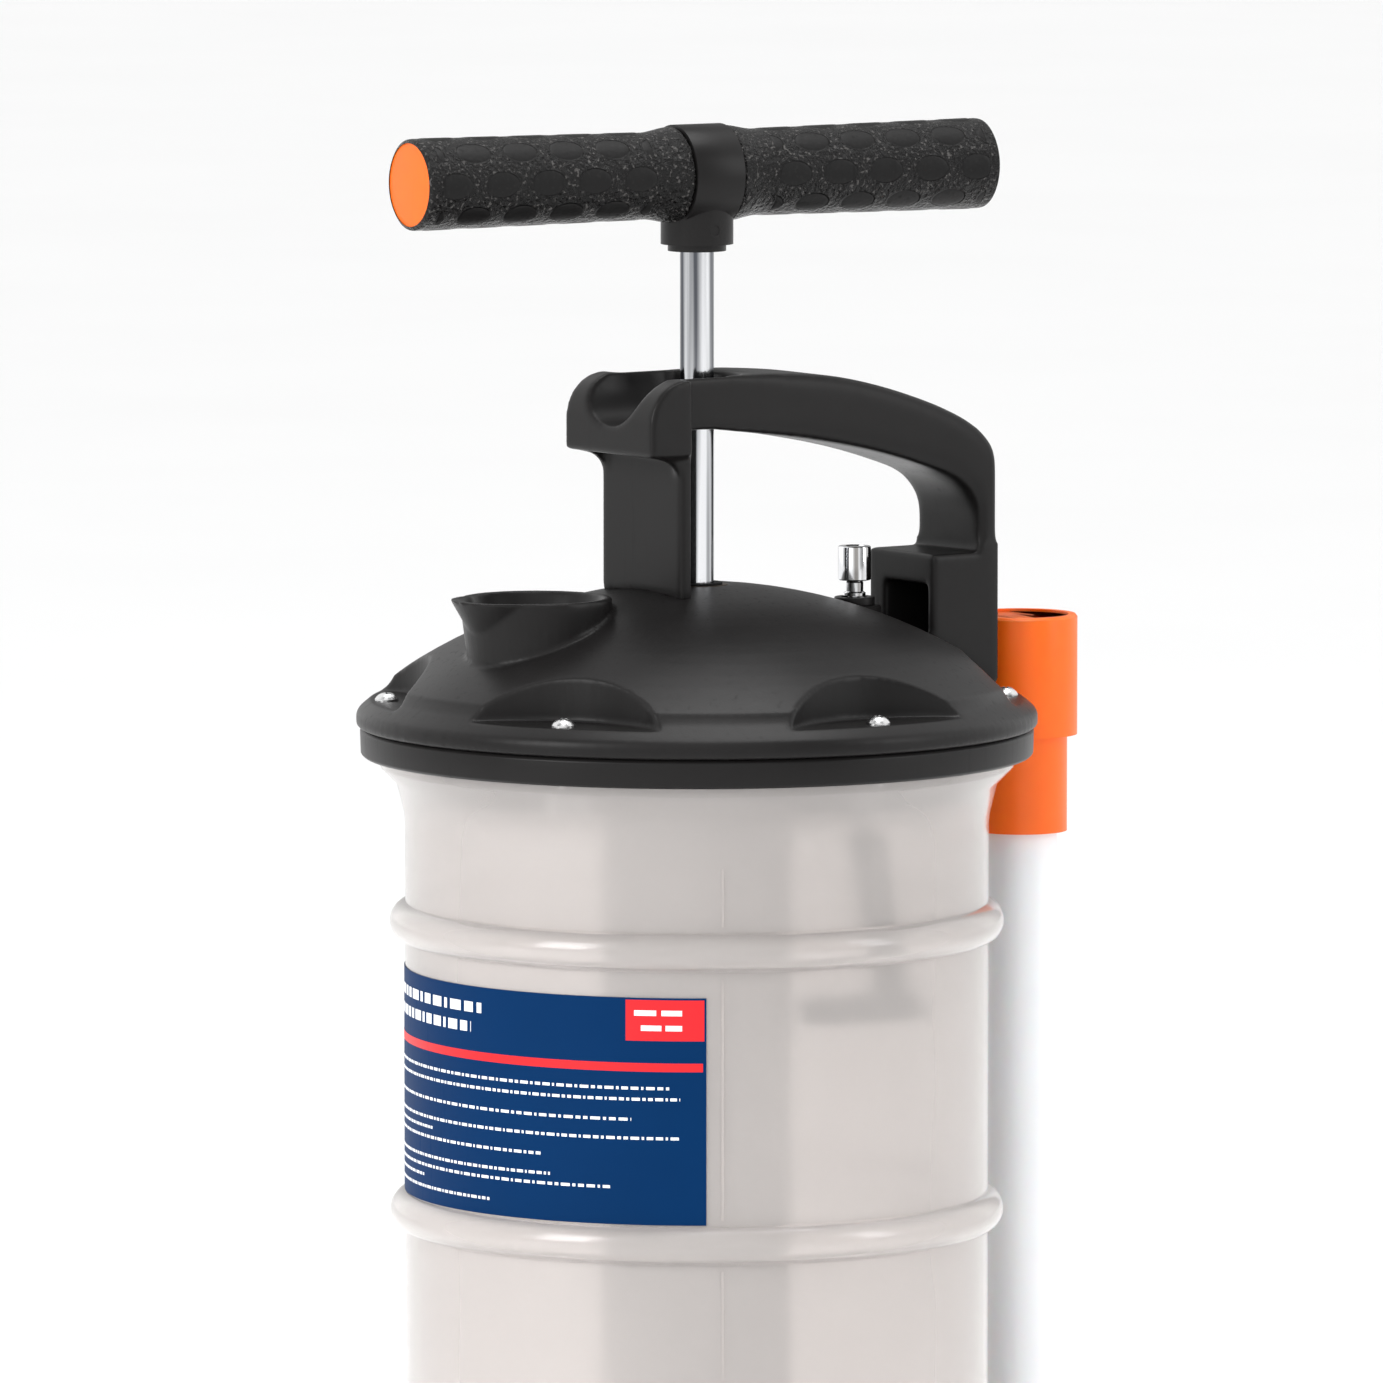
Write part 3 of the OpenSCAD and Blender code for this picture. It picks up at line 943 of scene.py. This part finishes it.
                self.print_bar(
                    white, panel + left, panel + right, low, low + self.dash_tall, high_ink
                )
        self.add(white, "label_white_print", "label_white", Slot.LABEL)

    def build(self) -> None:
        """Build the tank, its label and the ring under the lid."""
        self.add(self.shell(), "tank_shell", "milky_polypropylene", Slot.TANK, ("tank",))
        self.add(self.parting_line(), "tank_parting_line", "milky_polypropylene", Slot.TANK)
        self.label()
        self.eased_node("clamp_ring", "satin_black_plastic", Slot.BLACK, 0.35)


@dataclass
class Lid(Assembly):
    """The domed lid with its spout and everything set into it."""

    grid: float = 0.7
    rounds: int = 3
    keep: float = 0.24
    dressed: tuple[tuple[str, str], ...] = (
        ("lid_gasket", "black_rubber"), ("lid_screws", "fastener_steel"),
        ("rod_bush", "sintered_bronze"), ("rod_wiper", "black_rubber"),
        ("float_guide", "satin_black_plastic"),
    )

    def build(self) -> None:
        """Build the lid's moulding and dress what is fixed to it."""
        shape = merged_copy("lid")
        bmesh.ops.triangulate(shape, faces=[f for f in shape.faces if len(f.verts) > 3])
        piece = self.add(shape, "lid_moulding", "satin_black_plastic", Slot.BLACK, ("lid",))
        cast(piece, self.grid, self.rounds, self.keep)
        for name, finish in self.dressed:
            dress_node(name, self.finishes[finish])
        self.eased_node("hose_bung", "black_rubber", Slot.RUBBER, 0.8)


@dataclass
class CarryHandle(Assembly):
    """The arched carry handle with the cradle that holds the grip."""

    grid: float = 0.7
    rounds: int = 9
    keep: float = 0.30
    arch: tuple[Corner, Corner] = ((-30.0, 4.0, 463.5), (30.0, 99.0, 520.0))
    arch_rounds: int = 48
    arch_fade: float = 26.0
    dome_centre: Corner = (0.0, 0.0, 297.6)
    dome_radius: float = 158.0
    seat_reach: float = 1.8
    seat_depth: float = 1.0

    def seat(self, piece: Piece) -> None:
        """Sink the feet of the moulding a little way into the dome, so no gap shows.

        Args:
            piece: The moulding.
        """
        centre = Vector(self.dome_centre) * MM
        for vert in piece.data.vertices:
            out = vert.co - centre
            if out.length < (self.dome_radius + self.seat_reach) * MM:
                vert.co -= out.normalized() * self.seat_depth * MM

    def build(self) -> None:
        """Build the handle's moulding and dress its screws."""
        piece = self.add(
            merged_copy("carry_handle"), "carry_handle_moulding", "satin_black_plastic",
            Slot.BLACK, ("carry_handle",),
        )
        cast(
            piece, self.grid, self.rounds, self.keep, self.arch, self.arch_rounds, self.arch_fade
        )
        self.seat(piece)
        dress_node("handle_screws", self.finishes["fastener_steel"])


@dataclass
class TeeHandle(Assembly):
    """The T-handle on the pump rod: hub, socket, two pebbled grips and two end caps."""

    body: str = "pump_rod"
    axis_z: float = 576.0
    turn: float = -5.0
    grip_start: float = 8.3
    grip_end: float = 96.5
    flare_end: float = 19.0
    flare_radius: float = 14.3
    near_radius: float = 12.85
    far_radius: float = 13.5
    patch_pitch: float = 15.5
    patch_long: float = 5.6
    patch_wide: float = 3.9
    patch_rise: float = 0.13
    patch_rows: int = 8
    patch_first: float = 26.0
    patch_clear: Point = (21.0, 4.0)
    patch_edge: Point = (1.16, 0.32)
    bore: float = 9.6
    bore_mouth: Point = (12.75, 0.5)
    bore_depth: float = 3.0
    ring_step: float = 0.75
    lip_start: float = 0.45
    lip_end: float = 1.2
    cap_outline: tuple[Point, ...] = (
        (0, 93.0), (12.7, 93.0), (12.7, 95.8), (12.4, 96.1), (11.8, 96.2), (0, 96.25),
    )
    cap_steps: int = 128
    skin_least: float = 12.0
    steps: int = 180

    def along(self, shape: Shape, front: bool = False) -> None:
        """Lay a shape turned about Z along the T-handle.

        Args:
            shape: The bmesh.
            front: Whether it goes on the front half.
        """
        lay = Matrix.Rotation(math.radians(-90.0), 4, "X")
        if front:
            lay = Matrix.Rotation(math.pi, 4, "Z") @ lay
        turn = Matrix.Rotation(math.radians(self.turn), 4, "Z")
        place = Matrix.Translation((0, 0, self.axis_z * MM)) @ turn
        bmesh.ops.transform(shape, matrix=place @ lay, verts=shape.verts[:])

    def grip_outline(self) -> list[Point]:
        """Draw the grip sleeve's outline, finely divided along its length.

        Returns:
            Radius of each corner and its distance from the T-handle's middle.
        """
        points: list[Point] = []
        ends = ((self.grip_start, self.lip_start), (self.grip_end, self.lip_end))
        count = round((self.grip_end - self.grip_start) / self.ring_step)
        for step in range(count + 1):
            along = self.grip_start + (self.grip_end - self.grip_start) * step / count
            run = (along - self.flare_end) / (self.grip_end - self.flare_end)
            radius = self.near_radius
            radius += (self.far_radius - self.near_radius) * max(0.0, run)
            if along < self.flare_end:
                ease = (self.flare_end - along) / (self.flare_end - self.grip_start)
                flare = self.flare_radius - self.near_radius
                radius += flare * ease * ease * (3.0 - 2.0 * ease)
            for end, soft in ends:
                lip = abs(along - end)
                if lip < soft:
                    radius -= soft - math.sqrt(max(0.0, soft * soft - (soft - lip) ** 2))
            points.append((radius, along))
        mouth, inset = self.bore_mouth
        points.append((mouth, self.grip_end - inset))
        points.append((self.bore, self.grip_end - self.bore_depth))
        points.append((self.bore, self.grip_start))
        return points

    def patch(self, along: float, angle: float) -> float:
        """Work out how far a point of the grip lies in a smooth oval patch.

        Args:
            along: Its distance from the T-handle's middle.
            angle: Its angle about the T-handle's axis.

        Returns:
            0 on the pebbled skin, 1 on a patch, and between the two at its edge.
        """
        before, after = self.patch_clear
        if not before < along < self.grip_end - after:
            return 0.0
        edge, soft = self.patch_edge
        row = angle / (2.0 * math.pi) * self.patch_rows
        best = 0.0
        for nearest in (math.floor(row), math.floor(row) + 1):
            shift = 0.5 * self.patch_pitch if nearest % 2 else 0.0
            across = (row - nearest) / self.patch_rows * 2.0 * math.pi * self.far_radius
            offset = (along - self.patch_first - shift) / self.patch_pitch
            length = (offset - round(offset)) * self.patch_pitch
            reach = math.hypot(length / self.patch_long, across / self.patch_wide)
            best = max(best, min(1.0, max(0.0, (edge - reach) / soft)))
        return best

    def grip(self, front: bool) -> None:
        """Build one grip sleeve with its raised patches.

        Args:
            front: Whether it is the front one.
        """
        shape = bmesh.new()
        turned(shape, self.grip_outline(), self.steps)
        layer = shape.verts.layers.float.new("smooth_patch")
        for vert in shape.verts:
            radius = math.hypot(vert.co.x, vert.co.y)
            if radius > self.skin_least * MM:
                angle = math.atan2(vert.co.y, vert.co.x) + math.pi
                amount = self.patch(vert.co.z / MM, angle)
                vert[layer] = amount
                vert.co.xy *= (radius - self.patch_rise * (1.0 - amount) * MM) / radius
        self.along(shape, front)
        name = "grip_front" if front else "grip_rear"
        self.add(shape, name + "_sleeve", "pebbled_grip_rubber", Slot.GRIP, (name,))

    def cap(self, front: bool) -> None:
        """Build one end cap with a soft edge.

        Args:
            front: Whether it is the front one.
        """
        shape = bmesh.new()
        turned(shape, list(self.cap_outline), self.cap_steps)
        self.along(shape, front)
        name = "cap_front" if front else "cap_rear"
        self.add(shape, name + "_plug", "orange_plastic", Slot.ORANGE, (name,))

    def build(self) -> None:
        """Build the T-handle and dress the rod."""
        for front in (True, False):
            self.grip(front)
            self.cap(front)
        self.eased_node("t_body", "satin_black_plastic", Slot.BLACK, 0.7)
        dress_node("piston_rod", self.finishes["plated_rod"])
        dress_node("handle_pin", self.finishes["satin_black_plastic"])


@dataclass
class ReleaseValve(Assembly):
    """The plated knob that lets air back into the tank, with its spring and seat."""

    body: str = "release_button"
    knob_y: float = 57.0
    rim_z: float = 405.0
    coils: float = 4.5
    wire: float = 0.28
    coil_radius: float = 2.9
    coil_steps: int = 32
    end_gap: float = 0.4
    travel: float = 2.5
    knob_steps: int = 72
    knob_outline: tuple[Point, ...] = (
        (0, 22.0), (1.7, 22.0), (1.7, 43.5), (3.0, 43.5), (3.3, 43.8), (3.3, 44.6), (2.6, 45.0),
        (2.6, 47.6), (3.9, 48.3), (4.7, 48.4), (4.9, 48.7), (4.9, 57.9), (4.8, 58.3),
        (4.5, 58.5), (3.0, 58.6), (2.8, 58.4), (0, 58.4),
    )

    def knob(self) -> Shape:
        """Turn the knob with its head, neck and stem.

        Returns:
            The knob as a bmesh.
        """
        shape = bmesh.new()
        turned(shape, [(r, self.rim_z + z) for r, z in self.knob_outline], self.knob_steps)
        bmesh.ops.translate(shape, verts=shape.verts[:], vec=(0, self.knob_y * MM, 0))
        return shape

    def spring(self) -> Shape:
        """Wind the wire spring on the stem.

        Returns:
            The spring as a bmesh.
        """
        shape = bmesh.new()
        low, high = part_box("release_spring")
        foot = low.z + self.end_gap * MM
        ring = []
        for corner in range(8):
            angle = math.radians(45.0 * corner)
            out = self.coil_radius + self.wire * math.cos(angle)
            rise = self.wire * math.sin(angle)
            ring.append(shape.verts.new((out * MM, 0.0, foot + rise * MM)))
        start = shape.faces.new(ring)
        turns = self.coils * self.coil_steps
        rise = (high.z - low.z - 2.0 * self.end_gap * MM) / turns
        bmesh.ops.spin(
            shape, geom=[start], cent=(0, 0, 0), axis=(0, 0, 1), dvec=(0, 0, rise),
            angle=math.radians(360.0 * self.coils), steps=round(turns), use_duplicate=False,
        )
        bmesh.ops.recalc_face_normals(shape, faces=shape.faces[:])
        bmesh.ops.translate(shape, verts=shape.verts[:], vec=(0, self.knob_y * MM, 0))
        return shape

    def build(self) -> None:
        """Build the knob and dress its seat, spring and seal."""
        self.add(
            self.knob(), "release_knob_turned", "plated_knob", Slot.STEEL, ("release_knob",)
        )
        self.eased_node("release_seat", "satin_black_plastic", Slot.BLACK, 0.25, "root")
        spring = self.add(
            self.spring(), "release_spring_coil", "fastener_steel", Slot.STEEL,
            ("release_spring",), "root",
        )
        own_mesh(spring)
        dress_node("release_seal", self.finishes["black_rubber"])


@dataclass
class ProbeHolder(Assembly):
    """The white storage tube and its orange collar at the back of the tank."""

    def build(self) -> None:
        """Build the collar and the tube."""
        self.eased_node("probe_collar", "orange_plastic", Slot.ORANGE, 0.5)
        self.eased_node("probe_tube", "white_tube_plastic", Slot.WHITE, 0.4)


@dataclass
class Base(Assembly):
    """The black base with its foot treads and rubber feet."""

    grid: float = 0.85
    rounds: int = 5
    keep: float = 0.28

    def build(self) -> None:
        """Build the base's moulding and dress its feet."""
        piece = self.add(
            merged_copy("base"), "base_moulding", "satin_black_plastic", Slot.BLACK, ("base",)
        )
        cast(piece, self.grid, self.rounds, self.keep)
        self.eased_node("base_feet", "black_rubber", Slot.RUBBER, 0.5)


@dataclass
class PumpInsides(Assembly):
    """Everything of the pump that stands inside the tank or the cylinder."""

    dressed: tuple[tuple[str, str], ...] = (
        ("pump_cylinder", "cloudy_cylinder_plastic"), ("cylinder_seal", "black_rubber"),
        ("cylinder_nut", "satin_black_plastic"), ("cylinder_foot", "satin_black_plastic"),
        ("valve_cage", "satin_black_plastic"), ("intake_disc", "black_rubber"),
        ("intake_pipe", "white_tube_plastic"), ("float_arm", "satin_black_plastic"),
        ("float_pad", "black_rubber"), ("piston", "machined_aluminium"),
        ("piston_seal", "black_rubber"), ("guide_ring", "white_tube_plastic"),
        ("piston_washer", "machined_aluminium"), ("piston_disc", "black_rubber"),
        ("piston_nut", "fastener_steel"),
    )

    def build(self) -> None:
        """Dress the nodes inside the tank."""
        for name, finish in self.dressed:
            dress_node(name, self.finishes[finish])


# --------------------------------------------------------------------- studio


@dataclass
class Studio:
    """A pale floor, a soft white room, three large soft lights and the camera."""

    floor_half: float = 30.0
    floor_tints: tuple[float, float] = (0.93, 0.96)
    floor_roughness: float = 0.9
    floor_specular: float = 0.1
    azimuth: float = 55.0
    elevation: float = 5.8
    distance: float = 4.5
    lens: float = 398.0
    aim_height: float = 0.4234
    aim_right: float = -0.0016
    wall_phase: float = 0.6
    wall_bright: float = 1.32
    wall_dark: float = 0.40
    wall_lobes: float = 3.0
    wall_edges: tuple[float, float] = (0.15, 0.85)
    lamps: tuple[tuple[str, Corner, Point, float], ...] = (
        ("soft_left", (0.1, -2.5, 1.5), (1.0, 1.6), 44.0),
        ("soft_right", (2.0, 1.5, 1.3), (0.6, 1.6), 15.0),
        ("soft_top", (0.0, 0.2, 2.4), (1.2, 1.2), 24.0),
    )
    lamp_aim: Corner = (0.0, 0.0, 0.4)

    def floor(self) -> None:
        """Lay a very wide pale floor."""
        shape = bmesh.new()
        bmesh.ops.create_grid(shape, x_segments=2, y_segments=2, size=self.floor_half)
        material, sheet, shader = blank_material("pale_floor")
        tint = sheet.noise(sheet.place(), 3.0, 2.0)
        mix = sheet.add("Mix", data_type="RGBA")
        preset(mix, {name: (tone, tone, tone, 1) for name, tone in zip("AB", self.floor_tints)})
        sheet.join(tint.outputs["Fac"], mix.inputs["Factor"])
        sheet.join(mix.outputs["Result"], shader.inputs["Base Color"])
        preset(shader, {
            "Roughness": self.floor_roughness, "Specular IOR Level": self.floor_specular,
        })
        piece_from(shape, "studio_floor", material)

    def room(self) -> None:
        """Light the room in near-white, with soft darker walls for the metal to reflect."""
        world = bpy.data.worlds.new("studio_room")
        bpy.context.scene.world = world
        world.use_nodes = True
        sheet = Sheet(world.node_tree)
        back = world.node_tree.nodes["Background"]
        preset(back, {"Color": (1.0, 1.0, 1.0, 1.0)})
        parts = sheet.add("SeparateXYZ")
        sheet.join(sheet.add("TexCoord").outputs["Generated"], parts.inputs["Vector"])
        bearing = sheet.add("Math", operation="ARCTAN2")
        sheet.join(parts.outputs["Y"], bearing.inputs[0])
        sheet.join(parts.outputs["X"], bearing.inputs[1])
        lobes = sheet.add("Math", operation="MULTIPLY_ADD")
        lobes.inputs[1].default_value = self.wall_lobes
        lobes.inputs[2].default_value = self.wall_phase
        sheet.join(bearing.outputs["Value"], lobes.inputs[0])
        wave = sheet.add("Math", operation="SINE")
        sheet.join(lobes.outputs["Value"], wave.inputs[0])
        wall = sheet.remap(
            wave.outputs["Value"], self.wall_bright, self.wall_dark, *self.wall_edges
        )
        seen = sheet.add("Mix", data_type="FLOAT")
        seen.inputs["B"].default_value = 1.0
        sheet.join(sheet.add("LightPath").outputs["Is Camera Ray"], seen.inputs["Factor"])
        sheet.join(wall, seen.inputs["A"])
        sheet.join(seen.outputs["Result"], back.inputs["Strength"])

    def lamp(self, name: str, where: Corner, size: Point, power: float) -> None:
        """Add one large soft light that faces the middle of the pump.

        Args:
            name: The light's name.
            where: Its place in metres.
            size: Its width and height in metres.
            power: Its power in watts.
        """
        light = bpy.data.lights.new(name, "AREA")
        light.shape = "RECTANGLE"
        light.size, light.size_y = size
        light.energy = power
        lamp = bpy.data.objects.new(name, light)
        lamp.location = where
        aim = Vector(self.lamp_aim) - Vector(where)
        lamp.rotation_euler = aim.to_track_quat("-Z", "Y").to_euler()
        bpy.context.scene.collection.objects.link(lamp)

    def camera(self) -> None:
        """Place the camera with a long lens."""
        turn, tilt = math.radians(self.azimuth), math.radians(self.elevation)
        level = math.cos(tilt)
        out = Vector((math.sin(turn) * level, -math.cos(turn) * level, math.sin(tilt)))
        right = Vector((math.cos(turn), math.sin(turn), 0.0))
        aim = Vector((0, 0, self.aim_height)) + right * self.aim_right
        data = bpy.data.cameras.new("studio_camera")
        data.lens = self.lens
        data.sensor_width = 36.0
        data.clip_end = 200.0
        camera = bpy.data.objects.new("studio_camera", data)
        camera.location = aim + out * self.distance
        camera.rotation_euler = (-out).to_track_quat("-Z", "Y").to_euler()
        bpy.context.scene.collection.objects.link(camera)
        bpy.context.scene.camera = camera

    def build(self) -> None:
        """Set up the whole studio."""
        self.floor()
        self.room()
        for settings in self.lamps:
            self.lamp(*settings)
        self.camera()
        bpy.context.scene.view_settings.view_transform = "Standard"


def main() -> list[Assembly]:
    """Build the whole pump in its studio.

    Returns:
        The sub-assemblies, in the order they were built.
    """
    logging.basicConfig(level=logging.INFO, format="%(name)s: %(message)s", stream=sys.stdout)
    finishes = Finishes().build()
    kinds = (Base, Tank, PumpInsides, Lid, CarryHandle, TeeHandle, ReleaseValve, ProbeHolder)
    assemblies: list[Assembly] = [kind(finishes) for kind in kinds]
    for assembly in assemblies:
        assembly.build()
    Studio().build()
    return assemblies


if __name__ == "__main__":
    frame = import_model()
    main()
